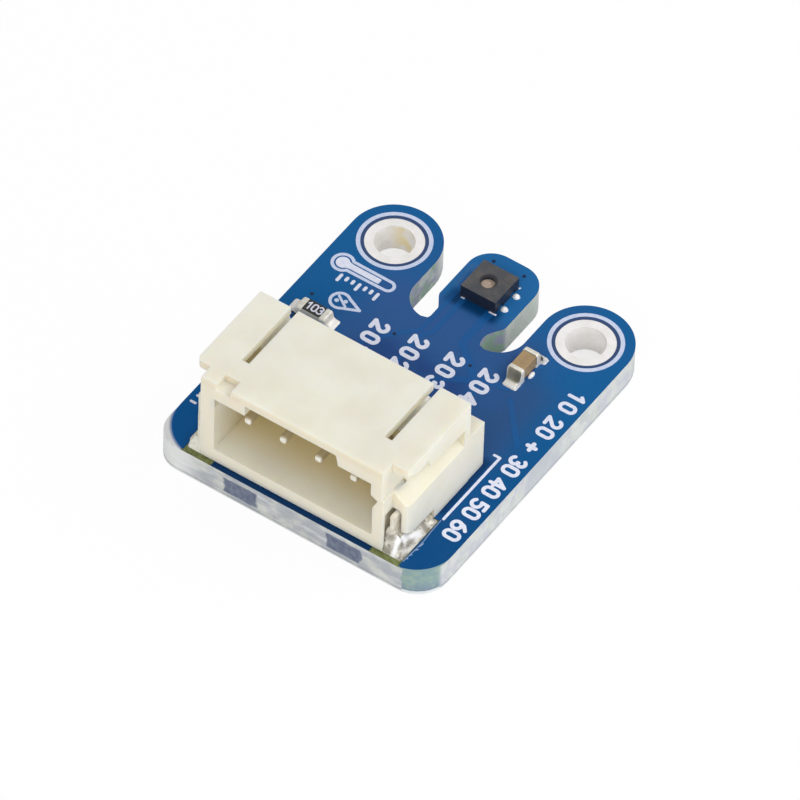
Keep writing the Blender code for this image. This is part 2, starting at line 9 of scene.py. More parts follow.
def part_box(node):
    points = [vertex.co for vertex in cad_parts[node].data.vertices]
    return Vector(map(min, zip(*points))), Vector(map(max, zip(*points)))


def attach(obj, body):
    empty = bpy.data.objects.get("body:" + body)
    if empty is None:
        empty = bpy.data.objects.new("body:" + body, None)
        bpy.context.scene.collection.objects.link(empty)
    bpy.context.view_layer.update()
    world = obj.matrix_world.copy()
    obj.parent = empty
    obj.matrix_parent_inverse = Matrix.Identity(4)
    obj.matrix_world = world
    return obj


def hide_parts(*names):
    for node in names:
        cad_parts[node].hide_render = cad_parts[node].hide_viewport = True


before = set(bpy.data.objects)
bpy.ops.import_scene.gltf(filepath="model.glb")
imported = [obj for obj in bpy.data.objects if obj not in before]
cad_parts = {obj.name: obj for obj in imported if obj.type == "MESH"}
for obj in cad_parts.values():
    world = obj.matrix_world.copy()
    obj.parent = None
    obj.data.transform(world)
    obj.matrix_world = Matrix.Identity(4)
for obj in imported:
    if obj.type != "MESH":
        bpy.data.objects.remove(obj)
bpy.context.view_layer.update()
bpy.context.scene.view_settings.view_transform = "Standard"

# Sizes in millimetres; outlines take y from the board's front edge, materials take it in the frame
MM = 0.001
FRONT = -9.5
TOP = 1.6
MASK = 0.02
RAISED = TOP + MASK
INK = 0.014
HALF_WIDTH = 7.85
HOLE = (5.5, 16.65)
EAR = 2.35
SLOT_END = 13.48
SLOT_SWEEP = 1.46
RELIEF = (2.35, 14.05)
RELIEF_RADIUS = 0.97
NECK_Y = 14.57
TAB_HALF = 1.9
TAB_CORNER = 1.35
TAB_FOOT = 15.08
TAB_END = 18.95
MASK_CORNER_RIGHT = 2.05
MASK_CORNER_LEFT = 2.35
RING_OPENING = 1.462
TAB_PAD_INNER = 4.5
TAB_PAD_OUTER = 6.15
TAB_PAD_REAR = 3.45
HEADER_X = -0.14
HEADER_BACK = 3.9
PINS = [HEADER_X + x for x in (-3.0, -1.0, 1.0, 3.0)]
RESISTOR_1 = (-5.93, 10.57)
RESISTOR_2 = (-7.0, 8.3)
CAPACITOR = (4.08, 13.45)
RESISTOR_END = 0.5
CAPACITOR_END = 0.84
FLOOR_GAP = 0.02


def linear(colour):
    """sRGB 0 to 255 to a linear RGBA tuple."""
    made = []
    for value in colour:
        v = value / 255
        made.append(v / 12.92 if v <= 0.04045 else ((v + 0.055) / 1.055) ** 2.4)
    return (*made, 1.0)


class Finish:
    """A Principled material and the few node helpers that build its detail."""

    def __init__(self, name, roughness, metallic=0.0):
        self.material = bpy.data.materials.new(name)
        self.material.use_nodes = True
        self.tree = self.material.node_tree
        self.shader = self.tree.nodes["Principled BSDF"]
        self.set("Roughness", roughness)
        self.set("Metallic", metallic)
        place = self.node("ShaderNodeTexCoord")
        scale = self.node("ShaderNodeMapping")
        scale.inputs["Scale"].default_value = (1000, 1000, 1000)
        self.link(place.outputs["Object"], scale.inputs["Vector"])
        self.mm = scale.outputs["Vector"]
        split = self.node("ShaderNodeSeparateXYZ")
        self.link(self.mm, split.inputs[0])
        self.x, self.y, self.z = split.outputs

    def node(self, kind):
        return self.tree.nodes.new(kind)

    def link(self, a, b):
        self.tree.links.new(a, b)

    def put(self, socket, value):
        if isinstance(value, (int, float, tuple)):
            socket.default_value = value
        else:
            self.link(value, socket)

    def set(self, name, value):
        self.put(self.shader.inputs[name], value)

    def noise(self, scale, detail=3.0, rough=0.55, stretch=None, seed=0.0):
        made = self.node("ShaderNodeTexNoise")
        made.inputs["Scale"].default_value = scale
        made.inputs["Detail"].default_value = detail
        made.inputs["Roughness"].default_value = rough
        moved = self.node("ShaderNodeMapping")
        moved.inputs["Scale"].default_value = stretch or (1, 1, 1)
        moved.inputs["Location"].default_value = (seed, seed * 0.7, seed * 1.3)
        self.link(self.mm, moved.inputs["Vector"])
        self.link(moved.outputs["Vector"], made.inputs["Vector"])
        return made.outputs["Fac"]

    def maths(self, operation, a, b=0.0):
        made = self.node("ShaderNodeMath")
        made.operation = operation
        self.put(made.inputs[0], a)
        self.put(made.inputs[1], b)
        return made.outputs[0]

    def product(self, *values):
        total = values[0]
        for value in values[1:]:
            total = self.maths("MULTIPLY", total, value)
        return total

    def across(self):
        """Distance from the board's middle line."""
        return self.maths("ABSOLUTE", self.x)

    def reach(self, x, y, paired=False):
        """Distance from the upright line through x and y, or from the nearer one of x and -x."""
        out = self.maths("SUBTRACT", self.across() if paired else self.x, x)
        back = self.maths("SUBTRACT", self.y, y)
        return self.maths("SQRT", self.maths("ADD", self.product(out, out), self.product(back, back)))

    def facing(self):
        """The face's own direction, as x, y and z."""
        turn = self.node("ShaderNodeNewGeometry")
        split = self.node("ShaderNodeSeparateXYZ")
        self.link(turn.outputs["Normal"], split.inputs[0])
        return split.outputs

    def ramp(self, value, low, high, first=0.0, last=1.0):
        """Smooth step of value from low to high, mapped to first and last."""
        made = self.node("ShaderNodeMapRange")
        made.interpolation_type = "SMOOTHSTEP"
        self.put(made.inputs["Value"], value)
        made.inputs["From Min"].default_value = low
        made.inputs["From Max"].default_value = high
        made.inputs["To Min"].default_value = first
        made.inputs["To Max"].default_value = last
        return made.outputs["Result"]

    def window(self, value, low, high, soft):
        """1 between low and high, falling to 0 over soft on each side."""
        rise = self.ramp(value, low - soft, low + soft)
        fall = self.ramp(value, high - soft, high + soft, 1.0, 0.0)
        return self.maths("MULTIPLY", rise, fall)

    def patch(self, xs, ys, share):
        """A soft-edged patch of the given share; each range is low, high and softness."""
        return self.product(self.window(self.x, *xs), self.window(self.y, *ys), share)

    def mix(self, factor, a, b):
        made = self.node("ShaderNodeMix")
        made.data_type = "RGBA"
        self.put(made.inputs["Factor"], factor)
        self.put(made.inputs[6], a)
        self.put(made.inputs[7], b)
        return made.outputs[2]

    def blend(self, factor, first, second):
        """Mixes two sRGB colours."""
        return self.mix(factor, linear(first), linear(second))

    def layer(self, tone, *coats):
        """Lays each coat, a share with an sRGB colour or a tone, over the tone in turn."""
        for share, colour in coats:
            tone = self.mix(share, tone, linear(colour) if isinstance(colour, tuple) else colour)
        return tone

    def bump(self, height, microns, strength=1.0):
        made = self.node("ShaderNodeBump")
        made.inputs["Strength"].default_value = strength
        made.inputs["Distance"].default_value = microns * 1e-6
        self.link(height, made.inputs["Height"])
        self.link(made.outputs["Normal"], self.shader.inputs["Normal"])


def mask_colour(made):
    """The mask by place: clear blue along the outline, duller over copper; painted shade in navy under the
    header's front, beside its right side and in front of the sensor, a painted darker patch in the middle,
    a painted highlight left of the sensor and painted light on the left front.
    """
    across = made.across()
    clear = made.blend(made.ramp(made.y, -7.0, 5.5), (2, 74, 130), (20, 94, 152))
    wide = made.maths("SUBTRACT", made.noise(0.35, 2, 0.5, seed=3.1), 0.5)
    middle = made.product(made.ramp(across, 3.4, 6.6, 0.85, 0.0), made.ramp(made.y, 4.8, 6.8, 1.0, 0.3))
    copper = made.maths("ADD", middle, made.maths("MULTIPLY", wide, 0.5))
    band = made.product(made.window(made.reach(HOLE[0], HOLE[1] + FRONT, True), 1.3, 1.68, 0.03), 0.95)
    right = made.patch((4.2, 6.4, 0.9), (-2.0, 3.6, 0.9), 0.6)
    # Painted highlight on the mask left of the sensor
    painted_highlight_patch = made.patch((-1.75, -1.2, 0.15), (6.5, 8.2, 0.3), 0.4)
    # Painted shade: a faint, patchy darker patch in the middle of the board
    painted_shade_patch = made.patch((-3.6, 2.6, 0.8), (-0.4, 2.0, 0.7),
                      made.ramp(made.noise(0.7, 2, 0.5, seed=17.0), 0.35, 0.6, 0.15, 0.6))
    speck = made.ramp(made.noise(9.0, 3, 0.6, seed=8.0), 0.3, 0.75, 0.0, 0.14)
    # Painted light: a lighter, bluer left front that lifts the shade of the header
    left = made.product(made.ramp(made.x, -6.7, -5.9, 1.0, 0.0), made.ramp(made.y, -3.5, -1.0, 0.55, 0.0))
    tab = made.product(made.ramp(made.y, 5.2, 6.4, 0.0, 0.7), made.ramp(across, 1.9, 2.4, 1.0, 0.0))
    # Painted shade in navy: a band along the front under the header, a shadow beside its right side and one
    # in front of the sensor
    painted_front_strip_shade = made.product(made.window(made.x, -4.6, 4.6, 0.1), made.ramp(made.y, -9.1, -9.0, 1.0, 0.0),
                         0.95)
    beside = made.patch((5.6, 6.12, 0.06), (-5.7, -1.6, 0.3), 0.8)
    sensor = made.patch((-1.5, 1.3, 0.25), (5.5, 6.4, 0.25), 0.88)
    navy = (0, 48, 92)
    return made.layer(clear, (copper, (52, 90, 147)), (band, (60, 78, 116)), (right, (52, 82, 128)),
                      (painted_highlight_patch, (120, 120, 150)), (painted_shade_patch, (34, 62, 124)), (speck, (14, 62, 118)),
                      (left, (2, 94, 164)), (tab, (34, 106, 166)), (painted_front_strip_shade, navy), (beside, navy),
                      (sensor, navy))


def make_mask(name, lift=None):
    made = Finish(name, 0.33)
    tone = mask_colour(made)
    if lift:
        tone = made.layer(tone, (0.45, lift))
    made.set("Base Color", tone)
    made.set("Specular IOR Level", 0.09)
    made.bump(made.noise(5.0, 3, 0.5, seed=1.0), 6, 0.35)
    return made.material


def edge_colour(made):
    """Glass laminate seen from the side: pale and blotched, with darker bonded patches in front."""
    cloud = made.noise(1.0, 3, 0.55, seed=9.0)
    spots = made.noise(3.2, 3, 0.55, seed=14.0)
    broad = made.noise(0.8, 2, 0.5, seed=21.0)
    streak = made.noise(1.1, 3, 0.6, stretch=(0.5, 1.0, 2.6), seed=33.0)
    mottle = made.noise(1.5, 2, 0.5, seed=27.0)
    wave = made.maths("MULTIPLY", made.maths("SUBTRACT", made.noise(1.6, 2, 0.5, seed=2.0), 0.5), 0.5)
    along = made.maths("ADD", made.x, wave)
    front = made.ramp(made.y, -9.4, -8.9, 1.0, 0.0)

    # Side walls, then the front wall over them
    blotch = made.product(made.ramp(made.x, 7.4, 7.6), made.window(made.y, -1.2, 1.6, 0.7), 0.6)
    side = made.layer(made.blend(made.ramp(cloud, 0.42, 0.58), (207, 211, 209), (194, 197, 205)),
                      (made.ramp(broad, 0.5, 0.66, 0.0, 0.55), (186, 194, 188)),
                      (made.ramp(spots, 0.52, 0.7, 0.0, 0.5), (221, 223, 221)),
                      (blotch, (180, 187, 196)))
    cream = made.layer(made.blend(made.ramp(cloud, 0.4, 0.6), (198, 200, 194), (168, 173, 178)),
                       (made.ramp(streak, 0.5, 0.64, 0.0, 0.5), (228, 230, 228)),
                       (made.ramp(streak, 0.38, 0.48, 0.6, 0.0), (158, 162, 174)))
    pale = made.product(made.ramp(made.x, -6.2, -4.8, 1.0, 0.0), made.ramp(made.y, -6.0, -4.0, 0.75, 0.0))
    edge = made.layer(side, (made.product(front, 0.8), cream), (pale, (234, 236, 234)))

    # Two dark patches in front and the teal corner at the right
    tall = made.window(made.maths("ADD", made.z, made.maths("MULTIPLY", wave, 0.4)), 0.34, 1.3, 0.06)
    grain = made.blend(made.ramp(spots, 0.35, 0.65), (78, 88, 118), (102, 114, 134))
    for low, high in ((-3.75, -1.85), (2.1, 4.08)):
        dark = made.product(made.window(along, low, high, 0.07), front, tall, 0.92)
        edge = made.layer(edge, (dark, grain))
    corner = made.product(made.window(along, 6.36, 8.4, 0.07), made.ramp(made.y, -8.45, -8.15, 1.0, 0.0))
    low_blue = made.product(made.ramp(made.z, 0.35, 0.85, 0.8, 0.0), made.ramp(cloud, 0.38, 0.58))
    teal = made.layer(made.blend(made.ramp(spots, 0.4, 0.62), (134, 162, 152), (114, 148, 152)),
                      (low_blue, (104, 130, 150)))

    # Lines along the foot of the walls
    line = made.product(made.window(made.z, 0.1, 0.2, 0.03), made.ramp(cloud, 0.35, 0.55, 0.3, 0.75))
    edge = made.layer(edge, (made.product(corner, 0.85), teal), (line, (150, 153, 160)),
                      (made.ramp(made.z, 0.06, 0.1, 0.7, 0.0), (232, 234, 234)),
                      (made.product(corner, made.window(made.z, 0.2, 0.27, 0.03), 0.7), (104, 122, 142)),
                      (made.product(corner, made.ramp(made.z, 0.17, 0.22, 0.9, 0.0)), (226, 230, 231)))

    # Walls inside the slots, mottled green and violet
    inside = made.ramp(made.across(), 4.4, 5.2, 1.0, 0.0)
    leftward = made.ramp(made.x, -1.0, 1.0, 1.0, 0.0)
    ear = made.product(made.window(made.y, 3.7, 7.4, 0.5), leftward)
    neck = made.product(made.maths("MAXIMUM", made.window(made.y, 3.7, 5.7, 0.2), ear), inside, 0.8)
    wall = made.layer(made.blend(made.ramp(mottle, 0.44, 0.56), (142, 146, 178), (128, 166, 142)),
                      (made.ramp(cloud, 0.5, 0.62, 0.0, 0.75), (204, 212, 204)))
    tab = made.product(made.ramp(made.y, 5.6, 6.0), inside, made.ramp(made.x, -1.0, 1.0), 0.65)
    green = made.blend(made.ramp(spots, 0.42, 0.6), (192, 200, 194), (176, 188, 178))
    return made.layer(edge, (neck, wall), (tab, green))


def make_board():
    """Laminate edges, bare weave in the mask's openings and blue mask underneath."""
    made = Finish("laminate_and_mask", 0.5)
    up = made.facing()[2]
    threads = made.ramp(made.noise(7, 3, 0.6, seed=5.0), 0.35, 0.65)
    weave = made.blend(threads, (98, 104, 58), (124, 132, 84))
    bend = made.reach(HALF_WIDTH - MASK_CORNER_LEFT, FRONT + MASK_CORNER_LEFT, True)
    rim = made.blend(made.ramp(bend, 2.38, 2.52), (120, 142, 184), (230, 232, 232))
    rim = made.layer(rim, (made.ramp(made.x, -1, 1), (138, 166, 170)))
    corner = made.product(made.ramp(made.y, -7.1, -7.0, 1.0, 0.0), made.ramp(made.across(), 6.2, 6.26))
    bare = made.mix(corner, weave, rim)
    # The underside's blue takes the same painted shade and highlight patches as the top
    made.set("Base Color", made.layer(edge_colour(made), (made.ramp(up, 0.6, 0.8), bare),
                                      (made.ramp(up, -0.8, -0.6, 1.0, 0.0), mask_colour(made))))
    made.set("Specular IOR Level", 0.3)
    made.bump(made.noise(1.6, 5, 0.65, stretch=(1, 1, 4), seed=4.0), 12, 0.4)
    return made.material


def make_nylon():
    """Cream moulding with painted shade: beiger on faces that look forward, darker along the roof's front
    edge, warmer and darker deep in the cavity and in the side grooves; the roof slots are painted lighter.
    """
    made = Finish("cream_nylon", 0.42)
    cloud = made.noise(0.5, 3, 0.5, seed=2.0)
    fine = made.noise(22.0, 3, 0.6, seed=6.0)
    # Painted shade: faces that look forward are beiger and darker, and darker still along the roof's front
    # edge
    front = made.ramp(made.facing()[1], -0.9, -0.5, 1.0, 0.0)
    painted_lip_shade = made.product(front, made.ramp(made.z, 6.5, 6.8, 0.0, 0.5))
    side = made.maths("ABSOLUTE", made.maths("SUBTRACT", made.x, HEADER_X))
    # Painted shade: warmer and darker deeper in the cavity
    cavity = made.product(made.ramp(side, 4.7, 4.78, 1.0, 0.0), made.window(made.z, 2.36, 6.7, 0.04),
                          made.window(made.y, -9.13, FRONT + HEADER_BACK + 0.06, 0.03),
                          made.ramp(made.y, -8.9, -6.3, 0.0, 1.0))
    # Painted light: the roof slots lighter
    painted_slot_light = made.product(made.window(side, 3.81, 4.29, 0.02), made.ramp(made.y, -7.25, -7.2),
                        made.ramp(made.z, 7.0, 7.06, 1.0, 0.0), made.ramp(made.z, 5.6, 5.7))
    # Painted shade: warmer in the side grooves
    painted_groove_shade = made.product(made.ramp(side, 5.16, 5.22), made.window(made.z, 4.42, 6.35, 0.03),
                          made.window(made.y, -8.6, -3.7, 0.05), 0.2)
    tone = made.blend(made.ramp(cloud, 0.3, 0.7), (237, 235, 222), (232, 228, 213))
    grain = made.ramp(fine, 0.4, 0.8, 0.0, 0.1)
    made.set("Base Color", made.layer(tone, (made.product(front, 0.7), (234, 225, 204)),
                                      (painted_lip_shade, (228, 216, 192)), (cavity, (212, 197, 152)),
                                      (painted_slot_light, (246, 240, 220)), (painted_groove_shade, (232, 222, 184)),
                                      (grain, (214, 206, 180))))
    made.set("Subsurface Weight", 0.5)
    made.set("Subsurface Scale", 0.0007)
    made.set("Subsurface Radius", (1.0, 0.8, 0.5))
    made.set("Specular IOR Level", 0.35)
    made.bump(fine, 5, 0.35)
    return made.material


def make_metal(name, light, dark, roughness, bump, scale, contrast, metallic):
    made = Finish(name, roughness, metallic)
    cloud = made.noise(scale, 4, 0.6, seed=3.0)
    fine = made.noise(scale * 7, 3, 0.6, seed=7.0)
    made.set("Base Color", made.blend(made.ramp(cloud, *contrast), dark, light))
    made.set("Roughness", made.ramp(fine, 0.3, 0.8, roughness * 0.75, roughness * 1.35))
    made.bump(cloud, bump, 0.8)
    return made.material


def make_plain(name, first, second, scale, roughness, bump):
    made = Finish(name, roughness)
    cloud = made.noise(scale, 4, 0.62, seed=5.0)
    fine = made.noise(scale * 6, 3, 0.6, seed=2.0)
    made.set("Base Color", made.blend(made.ramp(cloud, 0.35, 0.7), first, second))
    made.set("Specular IOR Level", 0.4)
    made.bump(fine, bump, 0.6)
    return made.material


def make_plating():
    """Tinned rings, near white, with a yellow patch low in the left bore."""
    made = Finish("tinned_ring", 0.45, 0.04)
    cloud = made.noise(1.6, 4, 0.6, seed=1.0)
    tone = made.blend(made.ramp(cloud, 0.35, 0.7), (246, 243, 242), (236, 234, 230))
    below = made.ramp(made.z, 1.5, 1.56, 0.75, 0.0)
    yellow_patch = made.patch((-6.0, -4.5, 0.4), (7.2, 8.6, 0.3),
                       made.product(made.ramp(made.noise(1.3, 1, 0.4, seed=8.0), 0.34, 0.66), below))
    made.set("Base Color", made.layer(tone, (yellow_patch, (240, 222, 156))))
    made.bump(cloud, 8, 0.5)
    return made.material


def make_chip_end():
    """Solder-coated chip ends: dull silver, lighter near the board as a painted highlight, and darker olive
    on the capacitor's upright front face as painted shade and reflection.
    """
    made = Finish("chip_end", 0.34, 0.15)
    cloud = made.noise(3.0, 4, 0.6, seed=3.0)
    tone = made.blend(made.ramp(cloud, 0.38, 0.62), (238, 235, 226), (220, 215, 203))
    # Painted shade and reflection: dark olive on the capacitor's upright front face
    painted_end_face_shade = made.product(made.ramp(made.facing()[1], -0.45, -0.2, 1.0, 0.0), made.ramp(made.z, 1.8, 1.92),
                           made.ramp(made.x, 3.7, 3.84), 0.92)
    painted_shade_olive = made.blend(made.ramp(made.x, 4.0, 4.4), (124, 122, 106), (98, 94, 78))
    # Painted highlight: lighter near the board
    low = made.ramp(made.z, 1.72, 1.9, 0.8, 0.0)
    made.set("Base Color", made.layer(tone, (low, (240, 238, 234)), (painted_end_face_shade, painted_shade_olive)))
    made.bump(made.noise(3.5, 2, 0.5, seed=9.0), 12, 0.6)
    return made.material


def make_bank():
    """Solder beside the blades: a painted white highlight along the top of the bank, grey folds and a dull
    far end; the left bank is creamy.
    """
    made = Finish("reflowed_solder", 0.28, 0.18)
    fold = made.noise(1.5, 2, 0.5, stretch=(1.3, 0.7, 1.0), seed=3.0)
    soft = made.noise(0.9, 1, 0.4, seed=12.0)
    fleck = made.ramp(made.noise(3.4, 3, 0.6, seed=31.0), 0.55, 0.66, 0.0, 0.7)
    # Painted highlight: white along the top of the bank
    highlight_line_x = made.maths("ADD", 5.61, made.product(made.maths("ADD", made.y, 9.16), 0.177))
    off = made.maths("SUBTRACT", made.x, highlight_line_x)
    painted_crest_highlight = made.product(made.window(off, -0.09, 0.1, 0.07), made.ramp(made.y, -7.5, -7.1, 1.0, 0.0),
                         made.ramp(soft, 0.36, 0.5, 0.5, 1.0))
    behind = made.product(made.window(made.y, -7.1, -6.75, 0.12), 0.75)
    far_end = made.ramp(made.y, -6.6, -6.35, 0.0, 0.8)
    dots = made.ramp(made.noise(4.2, 2, 0.5, seed=6.0), 0.62, 0.68, 0.0, 0.5)
    leftward = made.ramp(made.x, -1, 1, 1.0, 0.0)
    tone = made.blend(made.ramp(fold, 0.4, 0.6), (166, 160, 148), (232, 228, 219))
    made.set("Base Color", made.layer(tone, (fleck, (118, 110, 98)), (painted_crest_highlight, (255, 255, 255)),
                                      (behind, (132, 122, 106)), (far_end, (184, 178, 166)),
                                      (leftward, made.blend(dots, (238, 237, 224), (208, 206, 196)))))
    made.bump(made.noise(2.6, 2.5, 0.5, seed=9.0), 22, 0.7)
    return made.material


def make_package():
    """Grey moulded lid, with painted shade: near black down its sides and round the sensing port."""
    made = Finish("dark_moulding", 0.44)
    cloud = made.noise(1.6, 4, 0.62, seed=5.0)
    fine = made.noise(9.6, 3, 0.6, seed=2.0)
    # Painted shade round the sensing port
    ring = made.ramp(made.reach(port[0] - 0.02, port[1] + FRONT + 0.08), 0.38, 0.5, 0.8, 0.0)
    # Painted shade: dark navy down the sides
    side = made.ramp(made.facing()[2], 0.5, 0.8, 1.0, 0.0)
    tone = made.blend(made.ramp(cloud, 0.35, 0.7), (74, 76, 81), (95, 91, 90))
    made.set("Base Color", made.layer(tone, (made.ramp(fine, 0.35, 0.8, 0.0, 0.3), (72, 76, 76)),
                                      (ring, (34, 34, 40)), (side, (36, 43, 60))))
    made.set("Specular IOR Level", 0.28)
    made.bump(fine, 7, 0.6)
    return made.material


def make_contact():
    """Tinned contacts: bright tips with painted shade round their edge, darker and brassy along the cavity
    as painted shade, tinned again behind the header.
    """
    made = Finish("tinned_contact", 0.34, 0.3)
    cloud = made.noise(3.0, 4, 0.6, seed=3.0)
    # Painted shade: darker and brassy along the cavity
    painted_shaft_shade = made.product(made.window(made.y, -8.4, -5.6, 0.06), 0.9)
    # Painted shade round the tip's edge
    rim = made.product(made.ramp(made.facing()[1], -0.95, -0.8),
                       made.ramp(made.y, -8.42, -8.36, 1.0, 0.0), 0.5)
    tone = made.blend(made.ramp(cloud, 0.35, 0.7), (242, 238, 226), (228, 222, 206))
    made.set("Base Color", made.layer(tone, (painted_shaft_shade, (182, 167, 128)), (rim, (190, 180, 154))))
    made.bump(cloud, 5, 0.8)
    return made.material


port_low, port_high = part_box("sensor_membrane")
port = ((port_low.x + port_high.x) / 2 / MM, (port_low.y + port_high.y) / 2 / MM - FRONT)

blue_mask = make_mask("blue_mask")
copper_mask = make_mask("blue_mask_over_copper", (22, 92, 158))
tin = make_contact()
solder = make_bank()
chip_end = make_chip_end()
package = make_package()
blade_tin = make_metal("solder_wetted_tab", (238, 233, 219), (210, 201, 180), 0.36, 4, 1.2, (0.38, 0.6),
                       0.15)
pad_solder = make_metal("pad_solder", (238, 236, 230), (204, 200, 190), 0.3, 10, 1.8, (0.35, 0.65), 0.25)
bead = make_metal("solder_bead", (253, 253, 255), (240, 240, 242), 0.3, 4, 3.0, (0.35, 0.7), 0.1)
ink = make_plain("white_legend_ink", (228, 231, 246), (214, 218, 238), 6.0, 0.5, 5)
thin_ink = make_plain("blue_white_legend_ink", (206, 215, 238), (192, 204, 232), 6.0, 0.5, 5)
faint_ink = make_plain("thin_legend_ink", (150, 172, 206), (120, 146, 190), 9.0, 0.5, 3)
via_dark = make_plain("via_plug", (2, 20, 52), (8, 30, 66), 12.0, 0.4, 4)
alumina = make_plain("white_alumina", (222, 220, 210), (204, 202, 192), 8.0, 0.5, 4)
glaze = make_plain("black_glaze", (44, 46, 42), (58, 60, 54), 14.0, 0.32, 3)
ceramic = make_plain("tan_ceramic", (170, 142, 104), (152, 130, 98), 2.4, 0.42, 5)
membrane = make_plain("tan_filter", (196, 176, 158), (176, 156, 140), 5.0, 0.8, 8)

# Materials of the CAD nodes that are shown as they are, by the starts of their names
for starts, finish in (
    ("circuit_board", make_board()),
    ("mounting_ring", make_plating()),
    ("connector_housing", make_nylon()),
    ("pin_solder", pad_solder),
    ("mount_tab", blade_tin),
    (("resistor_1_body", "resistor_2_body"), alumina),
    (("resistor_1_overcoat", "resistor_2_overcoat"), glaze),
    ("capacitor_body", ceramic),
    ("sensor_body", package),
    ("sensor_membrane", membrane),
):
    for name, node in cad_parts.items():
        if name.startswith(starts):
            node.data.materials.clear()
            node.data.materials.append(finish)


def arc(centre, radius, start, end, steps):
    points = []
    for step in range(steps + 1):
        angle = math.radians(start + (end - start) * step / steps)
        points.append((centre[0] + radius * math.cos(angle), centre[1] + radius * math.sin(angle)))
    return points


def circle(centre, radius, steps=48):
    return arc(centre, radius, 0, 360 - 360 / steps, steps - 1)


def rectangle(x0, y0, x1, y1, radius=0.05, steps=4):
    points = []
    corners = ((x1 - radius, y1 - radius), (x0 + radius, y1 - radius),
               (x0 + radius, y0 + radius), (x1 - radius, y0 + radius))
    for number, corner in enumerate(corners):
        points += arc(corner, radius, number * 90, number * 90 + 90, steps)
    return points


def mirrored(points):
    """The points on the other side of the middle line, in reverse so that the outline closes."""
    return [(-x, y) for x, y in reversed(points)]


def finish_piece(name, mesh, material):
    made = bpy.data.objects.new(name, mesh)
    bpy.context.scene.collection.objects.link(made)
    mesh.materials.clear()
    mesh.materials.append(material)
    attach(made, "root")
    return made


def plate(name, outlines, low, high, material):
    """A flat sheet from outlines in board millimetres; inner outlines are openings."""
    curve = bpy.data.curves.new(name, "CURVE")
    curve.dimensions = "2D"
    curve.fill_mode = "BOTH"
    curve.extrude = (high - low) / 2
    for outline in outlines:
        spline = curve.splines.new("POLY")
        spline.points.add(len(outline) - 1)
        spline.use_cyclic_u = True
        for point, (x, y) in zip(spline.points, outline):
            point.co = (x, y + FRONT, 0.0, 1.0)
    helper = bpy.data.objects.new(name + "_curve", curve)
    bpy.context.scene.collection.objects.link(helper)
    mesh = bpy.data.meshes.new_from_object(helper.evaluated_get(bpy.context.evaluated_depsgraph_get()))
    bpy.data.objects.remove(helper)
    mesh.name = name
    mesh.transform(Matrix.Translation((0, 0, (low + high) / 2)))
    mesh.transform(Matrix.Scale(MM, 4))
    finish_piece(name, mesh, material)


def capsule(a, b, radius):
    """Outline round one straight length of a stroke."""
    heading = math.degrees(math.atan2(b[1] - a[1], b[0] - a[0]))
    return arc(b, radius, heading - 90, heading + 90, 7) + arc(a, radius, heading + 90, heading + 270, 7)


def inked(outlines, low, high):
    """One closed-edged sheet over the union of overlapping outlines, in millimetres."""
    points = []
    faces = []
    for outline in outlines:
        faces.append(list(range(len(points), len(points) + len(outline))))
        points += [Vector(point) for point in outline]
    made = delaunay_2d_cdt(points, [], faces, 1, 1e-5)
    shape = bmesh.new()
    tops = [shape.verts.new((v.x, v.y, high)) for v in made[0]]
    for face, source in zip(made[2], made[5]):
        if source:
            shape.faces.new([tops[i] for i in face])
    bmesh.ops.delete(shape, geom=[v for v in shape.verts if not v.link_faces], context="VERTS")
    rim = [edge for edge in shape.edges if len(edge.link_faces) == 1]
    foot = {}
    for edge in rim:
        for vert in edge.verts:
            if vert not in foot:
                foot[vert] = shape.verts.new((vert.co.x, vert.co.y, low))
    for edge in rim:
        first, second = edge.verts
        shape.faces.new((second, first, foot[first], foot[second]))
    bmesh.ops.recalc_face_normals(shape, faces=shape.faces)
    up = sum(face.normal.z * face.calc_area() for face in shape.faces)
    if up < 0:
        bmesh.ops.reverse_faces(shape, faces=shape.faces)
    return shape


def strokes(name, lines, material, base=RAISED, thick=INK):
    """One piece of ink from (points, width, closed) strokes in board millimetres."""
    outlines = []
    for points, width, closed in lines:
        moved = [(x, y + FRONT) for x, y in points]
        following = moved[1:] + moved[:1] if closed else moved[1:]
        outlines += [capsule(a, b, width / 2) for a, b in zip(moved, following)]
    shape = inked(outlines, base, base + thick)
    bmesh.ops.scale(shape, vec=(MM, MM, MM), verts=shape.verts)
    mesh = bpy.data.meshes.new(name)
    shape.to_mesh(mesh)
    shape.free()
    finish_piece(name, mesh, material)


def half_outline(radius):
    """Right half of the board's outline, its front corner to the given radius."""
    start = math.degrees(math.asin((SLOT_END + 0.1 - RELIEF[1]) / RELIEF_RADIUS))
    end = math.degrees(math.asin((NECK_Y - RELIEF[1]) / RELIEF_RADIUS))
    side = [(0.0, 0.0)]
    side += arc((HALF_WIDTH - radius, radius), radius, -90, 0, 20)
    side += arc(HOLE, EAR, 0, 180, 40)
    side += arc((HOLE[0] - EAR - SLOT_SWEEP, SLOT_END + SLOT_SWEEP), SLOT_SWEEP, 0, -85, 16)
    side += arc(RELIEF, RELIEF_RADIUS, 180 - start, 180 - end, 10)
    side += [(TAB_HALF - 0.06, TAB_FOOT - 0.05), (TAB_HALF, TAB_FOOT + 0.1)]
    side += arc((TAB_HALF - TAB_CORNER, TAB_END - TAB_CORNER), TAB_CORNER, 0, 90, 12)
    return side + [(0.0, TAB_END)]


